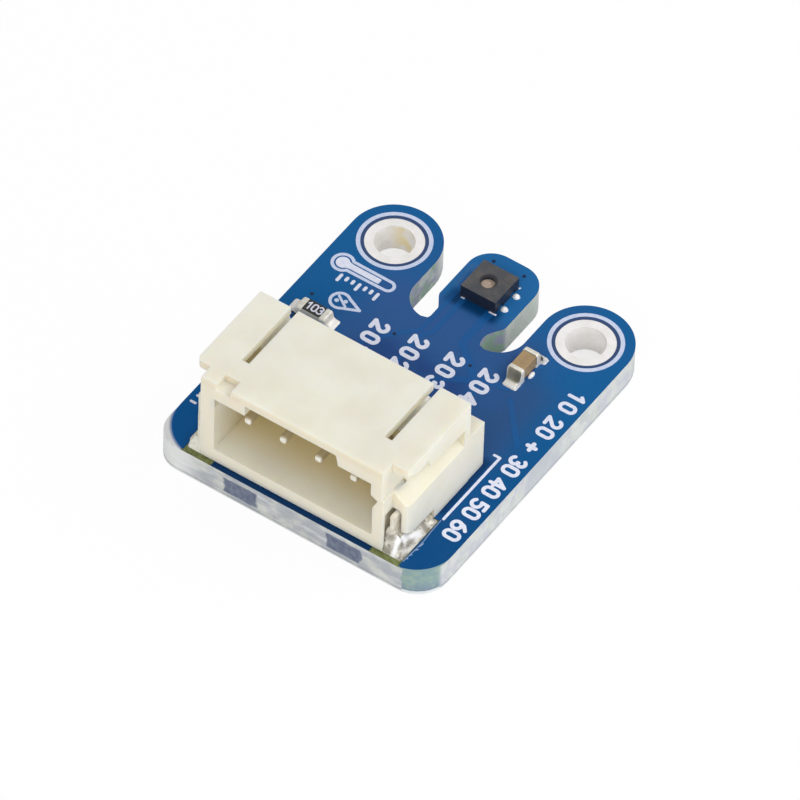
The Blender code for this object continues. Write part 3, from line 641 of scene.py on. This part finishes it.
def mask_outline():
    """The mask's outline, with the header's two tab pads cut in from the front edge."""
    left = [point for point in half_outline(MASK_CORNER_LEFT) if point[0] > 1e-9]
    outline = half_outline(MASK_CORNER_RIGHT) + mirrored(left)
    notch = [(TAB_PAD_INNER, 0.0), (TAB_PAD_INNER, TAB_PAD_REAR), (TAB_PAD_OUTER, TAB_PAD_REAR),
             (TAB_PAD_OUTER, 0.09)]
    kept = [(x, y) for x, y in outline if y >= 0.5 or abs(x) >= TAB_PAD_OUTER]
    return [(0.0, 0.0)] + notch + kept + mirrored(notch)


# Blue mask with its openings over rings, pads and chips
PIN_PAD_HALF = 0.55
PIN_PAD_ENDS = (6.3, 9.35)
CHIP_PAD_HALF = 0.37
CHIP_PAD_ENDS = (0.4, 1.27)
openings = [circle((side * HOLE[0], HOLE[1]), RING_OPENING, 64) for side in (-1, 1)]
for x in PINS:
    openings.append(rectangle(x - PIN_PAD_HALF, PIN_PAD_ENDS[0], x + PIN_PAD_HALF, PIN_PAD_ENDS[1]))
for (cx, cy), turned in ((RESISTOR_1, False), (RESISTOR_2, True), (CAPACITOR, True)):
    for side in (-1, 1):
        low, high = sorted(side * end for end in CHIP_PAD_ENDS)
        if turned:
            openings.append(rectangle(cx - CHIP_PAD_HALF, cy + low, cx + CHIP_PAD_HALF, cy + high))
        else:
            openings.append(rectangle(cx + low, cy - CHIP_PAD_HALF, cx + high, cy + CHIP_PAD_HALF))
plate("mask_top", [mask_outline()] + openings, TOP, RAISED, blue_mask)

# Copper under the mask shows as slightly raised, lighter or darker runs
COPPER_RISE = 0.008
strokes("copper_runs", [
    ([(-0.75, 15.6), (-0.75, 13.0), (-1.14, 12.4), (-1.14, 9.5)], 0.3, False),
    ([(0.75, 15.6), (0.75, 13.2), (1.87, 12.25), (2.86, 11.2), (2.86, 9.5)], 0.42, False),
    ([(-3.14, 9.5), (-3.14, 10.6), (-2.17, 11.8), (-1.3, 12.8), (-1.3, 16.1), (-1.4, 17.1)], 0.26, False),
    ([(0.86, 9.5), (0.86, 10.4), (1.5, 11.0), (3.2, 11.9), (4.08, 12.1)], 0.4, False),
    ([(4.6, 11.6), (6.5, 9.4)], 0.3, False),
    ([(-4.6, 10.57), (-3.6, 10.0), (-3.3, 9.5)], 0.26, False),
], copper_mask, RAISED, COPPER_RISE)

# Rings printed round the mounting holes
PRINT_RING = 1.745
strokes("legend_rings", [(circle((side * HOLE[0], HOLE[1]), PRINT_RING, 72), 0.21, True)
                         for side in (-1, 1)], thin_ink)

# Thermometer: outline, column and scale ticks
bulb = (-6.72, 14.1)
tube_end = (-4.12, 14.1)
glass = arc(bulb, 0.52, 38, 322, 22) + arc(tube_end, 0.3, -90, 90, 12)
strokes("legend_thermometer", [(glass, 0.165, True)], thin_ink)
column = arc(bulb, 0.35, 38, 322, 20) + [(-6.2, 13.94), (-4.62, 13.94), (-4.58, 13.98),
                                          (-4.58, 14.22), (-4.62, 14.26), (-6.2, 14.26)]
plate("legend_thermometer_column", [column], RAISED, RAISED + INK, ink)
FIRST_TICK = -6.315
TICK_STEP = 0.351
SHORT_TICK = 13.25
LONG_TICK = 13.02
ticks = []
for number in range(7):
    x = FIRST_TICK + number * TICK_STEP
    ticks.append(([(x, 13.4), (x, SHORT_TICK if number % 3 else LONG_TICK)], 0.17, False))
strokes("legend_scale_ticks", ticks, ink)

# Droplet with a percent sign
strokes("legend_droplet", [
    (arc((-5.45, 12.02), 0.48, 50, 310, 22) + [(-4.33, 12.02)], 0.16, True),
    ([(-5.67, 12.26), (-5.04, 11.84)], 0.13, False),
    (circle((-5.19, 12.12), 0.05, 12), 0.12, True),
    (circle((-5.6, 11.95), 0.05, 12), 0.13, True),
], thin_ink)

# Plain digits as strokes, in shares of the letter's height
GLYPHS = {
    "0": [(rectangle(0.06, 0.0, 0.62, 1.0, 0.27, 6), True)],
    "1": [([(0.12, 0.76), (0.38, 1.0), (0.38, 0.0)], False)],
    "2": [(arc((0.34, 0.7), 0.29, 165, -35, 9) + [(0.06, 0.0), (0.64, 0.0)], False)],
    "3": [(arc((0.33, 0.74), 0.26, 150, -80, 9) + arc((0.33, 0.27), 0.29, 80, -150, 10), False)],
    "4": [([(0.5, 0.0), (0.5, 1.0), (0.03, 0.3), (0.68, 0.3)], False)],
    "5": [([(0.58, 1.0), (0.12, 1.0), (0.1, 0.56)] + arc((0.32, 0.31), 0.31, 105, -145, 11), False)],
    "6": [(circle((0.34, 0.3), 0.3, 20), True), ([(0.06, 0.36), (0.16, 0.72), (0.48, 1.0)], False)],
    "+": [([(0.0, 0.5), (0.7, 0.5)], False), ([(0.35, 0.15), (0.35, 0.85)], False)],
}


def lettering(name, words, at, height, pitch, width, base=RAISED, along=(0, -1), up=(1, 0), thick=INK):
    """A row of digits: at is the first character's foot corner, in board millimetres."""
    lines = []
    start = 0.0
    for letter in words:
        for points, closed in GLYPHS.get(letter, []):
            placed = []
            for u, v in points:
                step = start + u * height
                placed.append((at[0] + along[0] * step + up[0] * v * height,
                               at[1] + along[1] * step + up[1] * v * height))
            lines.append((placed, width, closed))
        start += pitch * (0.5 if letter == " " else 1.0)
    strokes(name, lines, ink, base, thick)


for number, at in enumerate(((-3.36, 12.06), (-1.3, 12.33), (0.7, 12.4), (2.58, 12.5)), 1):
    lettering("legend_contact_%d" % number, "20%d" % number, at, 0.8, 0.86, 0.225)
lettering("legend_scale_low", "10 20", (6.72, 13.75), 0.77, 0.76, 0.19)
lettering("legend_scale_high", "30 40 50 60", (6.72, 8.85), 0.77, 0.65, 0.19)
lettering("legend_plus", "+", (6.78, 9.95), 0.62, 0.6, 0.22)

# Outline beside the header, with two dashes at its left
OUTLINE_WIDTH = 0.14
strokes("legend_header_outline", [
    ([(5.95, 8.3), (6.27, 8.3), (6.25, 3.65)], OUTLINE_WIDTH, False),
    ([(-7.55, 2.75), (-7.3, 2.75)], OUTLINE_WIDTH, False),
    ([(-7.5, 3.2), (-7.25, 3.2)], OUTLINE_WIDTH, False),
], ink)

# Worn line and nicks beside the right tab's pad
strokes("legend_thin_marks", [
    ([(6.19, 0.4), (6.21, 0.8), (6.24, 1.2), (6.27, 1.9), (6.22, 2.6), (6.2, 3.5)], 0.035, False),
    ([(6.2, 0.6), (6.27, 0.68)], 0.05, False),
    ([(6.22, 0.9), (6.3, 0.98)], 0.05, False),
    ([(6.25, 1.3), (6.35, 1.42)], 0.06, False),
    ([(6.3, 1.6), (6.34, 1.86)], 0.05, False),
], faint_ink)

# Plugged vias, and one larger via drawn as a ring
vias = [circle(spot, 0.09, 20) for spot in
        ((-6.78, 11.6), (-2.17, 11.8), (1.87, 12.25), (-0.95, 18.35), (0.77, 18.4))]
ring_via = (-6.83, 10.04)
plate("via_plugs", vias + [circle(ring_via, 0.17, 24), circle(ring_via, 0.07, 16)],
      RAISED, RAISED + 0.012, via_dark)

# Value code on each resistor
coat_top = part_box("resistor_1_overcoat")[1].z / MM
CODE = (0.43, 0.31, 0.08)
CODE_RISE = 0.008
lettering("value_code_1", "103", (-6.36, 10.36), *CODE, coat_top, (1, 0), (0, 1), CODE_RISE)
lettering("value_code_2", "103", (-7.21, 8.73), *CODE, coat_top, (0, -1), (1, 0), CODE_RISE)


def skin(name, rings, material, replaced, smooth=45):
    """A closed body over rings of equally many points in board millimetres, ends filled."""
    shape = bmesh.new()
    made = [[shape.verts.new((x, y + FRONT, z)) for x, y, z in ring] for ring in rings]
    count = len(made[0])
    for lower, upper in zip(made, made[1:]):
        for i in range(count):
            j = (i + 1) % count
            shape.faces.new((lower[i], lower[j], upper[j], upper[i]))
    shape.faces.new(list(reversed(made[0])))
    shape.faces.new(made[-1])
    bmesh.ops.recalc_face_normals(shape, faces=shape.faces)
    bmesh.ops.scale(shape, vec=(MM, MM, MM), verts=shape.verts)
    mesh = bpy.data.meshes.new(name)
    shape.to_mesh(mesh)
    shape.free()
    mesh.shade_smooth()
    mesh.set_sharp_from_angle(angle=math.radians(smooth))
    piece = finish_piece(name, mesh, material)
    if replaced:
        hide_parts(*replaced)


def end_section(u, foot, half, height, side):
    """Outline across a chip end at distance u: flared at the foot, rounded at the top."""
    corner = min(0.12, height * 0.5, half * 0.6)
    rise = [(foot, 0.0), (foot * 0.6 + half * 0.4, height * 0.12), (half, height * 0.4),
            (half, height - corner)]
    for angle in (22, 45, 68, 90):
        a = math.radians(angle)
        rise.append((half - corner + corner * math.cos(a), height - corner + corner * math.sin(a)))
    return [(side * u, v, z) for v, z in rise + mirrored(rise)]


# Distance along the chip, half width at the foot, half width above, share of the chip's height
END_SECTIONS = (
    (0.5, 0.4, 0.385, 0.965), (0.515, 0.415, 0.41, 0.99), (0.55, 0.42, 0.415, 1.0),
    (0.73, 0.42, 0.412, 1.0), (0.78, 0.42, 0.405, 0.965), (0.815, 0.42, 0.395, 0.9),
    (0.84, 0.42, 0.385, 0.8), (0.865, 0.415, 0.37, 0.66), (0.9, 0.41, 0.35, 0.52),
    (0.96, 0.405, 0.335, 0.39), (1.05, 0.405, 0.335, 0.28), (1.15, 0.415, 0.35, 0.2),
    (1.23, 0.42, 0.35, 0.15), (1.28, 0.39, 0.31, 0.09), (1.3, 0.33, 0.27, 0.05),
)
SHOULDER = 0.84


def chip_ends(chip, at, turn, height, gains=(0.0, 0.0), shifts=(0.0, 0.0)):
    """Both ends of a chip, each one body for cap and solder; gains widen the solder, shifts move it."""
    cos, sin = round(math.cos(math.radians(turn))), round(math.sin(math.radians(turn)))
    for side, end, gain, shift in ((-1, "a", gains[0], shifts[0]), (1, "b", gains[1], shifts[1])):
        rings = []
        for u, foot, half, share in END_SECTIONS:
            wide = 1.0 + (gain if u > SHOULDER else 0.0)
            lean = shift * max(0.0, min(1.0, (u - 0.8) / 0.15))
            placed = []
            for a, b, z in end_section(u, foot * wide, half * wide, height * share, side):
                b += lean
                placed.append((at[0] + a * cos - b * sin, at[1] + a * sin + b * cos, TOP + z))
            rings.append(placed)
        skin("%s_end_%s" % (chip, end), rings, chip_end,
             ("%s_cap_%s" % (chip, end), "%s_solder_%s" % (chip, end)))


chip_ends("resistor_1", RESISTOR_1, 0, RESISTOR_END)
chip_ends("resistor_2", RESISTOR_2, 90, RESISTOR_END)
chip_ends("capacitor", CAPACITOR, 90, CAPACITOR_END, (0.03, 0.3), (-0.03, -0.13))

# Bead of solder beside the capacitor: a low oval
BEAD_AT = (4.57, 13.42)
BEAD_HALF = (0.12, 0.25)
rings = []
for share, z in ((1.0, RAISED), (0.95, TOP + 0.08), (0.7, TOP + 0.13), (0.3, TOP + 0.15)):
    angles = [step / 8 * math.pi for step in range(16)]
    rings.append([(BEAD_AT[0] + BEAD_HALF[0] * share * math.cos(t),
                   BEAD_AT[1] + BEAD_HALF[1] * share * math.sin(t), z) for t in angles])
skin("capacitor_bead", rings, bead, ())


def dome(name, outline, centre, rise, material, replaced, count=14):
    """A lump of solder over an outline whose top follows rise(x, y, share of the way out)."""
    rings = [[(x, y, TOP) for x, y in outline]]
    for step in range(count, 0, -1):
        share = math.sin(step / count * math.pi / 2)
        ring = []
        for x, y in outline:
            px = centre[0] + (x - centre[0]) * share
            py = centre[1] + (y - centre[1]) * share
            ring.append((px, py, TOP + max(0.01, rise(px, py, share))))
        rings.append(ring)
    skin(name, rings, material, replaced, 60)


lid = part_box("sensor_body")[1].z / MM
# Painted shade: a thin dark sheet on the lid round the sensing port
plate("sensor_port_shade_sheet", [circle(port, 0.46), circle((port[0], port[1] - 0.02), 0.345)],
      lid, lid + 0.01, package)


def bead_rise(radius):
    """Height of a round bead of solder."""
    return lambda x, y, share: 0.04 + radius * 0.85 * (1 - share ** 2.2)


# Solder on the sensor's leads
for number, (x, y, radius) in enumerate(
        ((-1.1, 16.1, 0.13), (-1.1, 17.1, 0.13), (1.2, 16.1, 0.2), (1.2, 17.1, 0.2)), 1):
    blob = rectangle(x - radius, y - 0.17, x + radius, y + 0.17, radius - 0.01, 5)
    dome("sensor_bead_%d" % number, blob, (x, y), bead_rise(radius), bead,
         ("sensor_solder_%d" % number, "sensor_lead_%d" % number))

# Painted glints round the sensor: short white dashes of legend ink
strokes("painted_sensor_glints", [
    ([(0.72, 15.56), (1.04, 15.58)], 0.1, False),
    ([(-0.9, 15.56), (-0.76, 15.57)], 0.08, False),
    ([(1.02, 17.62), (1.04, 17.66)], 0.09, False),
], ink)

# Height of the solder along a header tab: a climb at the blade's front, then a long bank
BANK = ((0.33, 0.1), (0.48, 0.5), (0.62, 1.1), (0.76, 1.32), (1.05, 0.92), (1.4, 0.74), (1.9, 0.64),
        (2.6, 0.55), (3.1, 0.4), (3.45, 0.2), (3.8, 0.06))
BANK_INNER = 5.12
BANK_OUTER = 6.1
BANK_FRONT = 0.35
BANK_REAR = 3.42
BANK_TOP_Y = 1.5
LEFT_BANK_SHARE = 0.32


def tab_rise(side):
    """Height of the solder round a header tab, lower on the left."""

    def rise(x, y, share):
        height = BANK[-1][1]
        for (y0, h0), (y1, h1) in zip(BANK, BANK[1:]):
            if y0 <= y < y1:
                t = (y - y0) / (y1 - y0)
                height = h0 + (h1 - h0) * t * t * (3 - 2 * t)
                break
        fall = max(0.0, min(1.0, (6.28 - abs(x - HEADER_X)) / 0.5)) ** 1.5
        lumps = noise.noise(Vector((x * 2.1 + side * 5, y * 2.3, 0.3))) * 0.16
        tall = height * (1.0 if side > 0 else LEFT_BANK_SHARE)
        return (0.05 + tall * fall * (1 + lumps * 1.5) + lumps * 0.3) * min(1.0, (1 - share) * 12 + 0.15)

    return rise


for side, name in ((-1, "left"), (1, "right")):
    inner = side * BANK_INNER + HEADER_X
    outer = side * BANK_OUTER
    blob = rectangle(min(inner, outer), BANK_FRONT, max(inner, outer), BANK_REAR, 0.14, 5)
    dome("tab_bank_" + name, blob, ((inner + outer) / 2, BANK_TOP_Y), tab_rise(side), solder,
         ("tab_solder_" + name,), 26)


# Contacts: half thickness in front, its gain from the rear wall on, where they turn down, and heights
CONTACT_HALF = 0.2
CONTACT_GAIN = 1.25
CONTACT_DROP = 6.95
CONTACT_BEND = 0.3
CONTACT_AXIS = 3.35
CONTACT_TIP = 3.12


def contact_skin(number, x):
    """A contact with a round tip: along the cavity, through its rear wall, then down to its pad."""
    half = CONTACT_HALF
    thick = CONTACT_GAIN
    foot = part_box("contact_pin_%d" % number)[0].z / MM + half * thick
    drop, bend = CONTACT_DROP, CONTACT_BEND
    axis = TOP + CONTACT_AXIS
    tip = TOP + CONTACT_TIP
    stations = [(1.0, tip, 0.0, 0.72), (1.01, tip, 0.0, 0.82), (1.04, tip, 0.0, 0.93), (1.1, tip, 0.0, 1.0),
                (1.5, tip, 0.0, 1.0), (3.2, axis, 0.0, 1.0), (3.8, axis, 0.0, thick)]
    for y, z in arc((drop - bend, axis - bend), bend, 90, 0, 6):
        stations.append((y, z, math.atan2(drop - bend - y, z - axis + bend), thick))
    for y, z in arc((drop + bend, foot + bend), bend, 180, 270, 6):
        stations.append((y, z, math.atan2(y - drop - bend, foot + bend - z), thick))
    stations += [(8.44, foot, 0.0, thick), (8.5, foot, 0.0, 1.0)]
    rings = []
    for y, z, tilt, scale in stations:
        ring = []
        for step in range(16):
            angle = (step + 0.5) / 8 * math.pi
            c, s = math.cos(angle), math.sin(angle)
            u = math.copysign(abs(c) ** 0.6, c) * half * scale
            v = math.copysign(abs(s) ** 0.6, s) * half * scale
            ring.append((x + u, y - v * math.sin(tilt), z + v * math.cos(tilt)))
        rings.append(ring)
    skin("contact_skin_%d" % number, rings, tin, ("contact_pin_%d" % number,), 50)


for number, x in enumerate(PINS, 1):
    contact_skin(number, x)

# Camera at the photograph's angle: focal length in pixels, angles in degrees, the rest in millimetres
PICTURE = 800
SENSOR = 36
FOCAL = 13419.604
AZIMUTH = 33.071
ELEVATION = 48.890
ROLL = 2.027
DISTANCE = 632.275
SIDE = -0.071
RISE = 0.444
AIM = Vector((0, -0.5, TOP))
az, el, roll = (math.radians(value) for value in (AZIMUTH, ELEVATION, ROLL))
back = Vector((math.sin(az) * math.cos(el), -math.cos(az) * math.cos(el), math.sin(el)))
right = Vector((math.cos(az), math.sin(az), 0.0))
above = back.cross(right)
turned_right = math.cos(roll) * right + math.sin(roll) * above
turned_up = -math.sin(roll) * right + math.cos(roll) * above
position = AIM - SIDE * turned_right - RISE * turned_up + DISTANCE * back
camera = bpy.data.objects.new("camera", bpy.data.cameras.new("camera"))
camera.data.sensor_width = SENSOR
camera.data.lens = FOCAL / PICTURE * SENSOR
camera.data.clip_start = 0.01
camera.data.clip_end = 10
camera.matrix_world = Matrix.Translation(position * MM) @ Matrix(
    (turned_right, turned_up, back)).transposed().to_4x4()
bpy.context.scene.collection.objects.link(camera)
bpy.context.scene.camera = camera


def make_floor():
    """A white floor that keeps the shadow, with a little more shade where the two holes show it."""
    size = 1.5
    mesh = bpy.data.meshes.new("floor")
    corners = [(-size, -size, 0), (size, -size, 0), (size, size, 0), (-size, size, 0)]
    mesh.from_pydata(corners, [], [(0, 1, 2, 3)])
    made = bpy.data.objects.new("floor", mesh)
    bpy.context.scene.collection.objects.link(made)
    made.location.z = -FLOOR_GAP * MM
    finish = Finish("pale_floor", 0.9)
    finish.set("Base Color", (0.93, 0.93, 0.93, 1))
    finish.set("Specular IOR Level", 0.0)
    path = finish.node("ShaderNodeLightPath")
    seen = finish.maths("MAXIMUM", path.outputs["Is Camera Ray"], path.outputs["Is Glossy Ray"])
    level = finish.ramp(finish.reach(HOLE[0], HOLE[1] + FRONT, True), 1.3, 1.8, 0.6, 0.95)
    level.node.interpolation_type = "LINEAR"
    glow = finish.node("ShaderNodeEmission")
    both = finish.node("ShaderNodeMixShader")
    finish.link(finish.product(seen, level), both.inputs[0])
    finish.link(finish.shader.outputs[0], both.inputs[1])
    finish.link(glow.outputs[0], both.inputs[2])
    finish.link(both.outputs[0], finish.tree.nodes["Material Output"].inputs["Surface"])
    mesh.materials.append(finish.material)


def make_world(strength):
    """Even white light of the given strength; the camera sees it as plain white."""
    world = bpy.data.worlds.new("studio")
    bpy.context.scene.world = world
    world.use_nodes = True
    tree = world.node_tree
    ground = tree.nodes["Background"]
    ground.inputs["Color"].default_value = (1, 1, 1, 1)
    path = tree.nodes.new("ShaderNodeLightPath")
    level = tree.nodes.new("ShaderNodeMapRange")
    tree.links.new(path.outputs["Is Camera Ray"], level.inputs["Value"])
    level.inputs["To Min"].default_value = strength
    level.inputs["To Max"].default_value = 1.0
    tree.links.new(level.outputs["Result"], ground.inputs["Strength"])


def softbox(name, azimuth, elevation, distance, size, watts):
    """A square lamp that looks at the board's middle, its distance and size in metres."""
    lamp = bpy.data.lights.new(name, "AREA")
    lamp.shape = "SQUARE"
    lamp.size = size
    lamp.energy = watts
    made = bpy.data.objects.new(name, lamp)
    a, e = math.radians(azimuth), math.radians(elevation)
    direction = Vector((math.sin(a) * math.cos(e), -math.cos(a) * math.cos(e), math.sin(e)))
    made.location = direction * distance
    made.rotation_mode = "QUATERNION"
    made.rotation_quaternion = (-direction).to_track_quat("-Z", "Y")
    bpy.context.scene.collection.objects.link(made)


make_floor()
make_world(0.52)
softbox("key_box", 125, 50, 0.35, 0.22, 0.41)
softbox("right_box", 80, 20, 0.4, 0.2, 0.19)
softbox("front_box", 18, 38, 0.4, 0.25, 0.57)
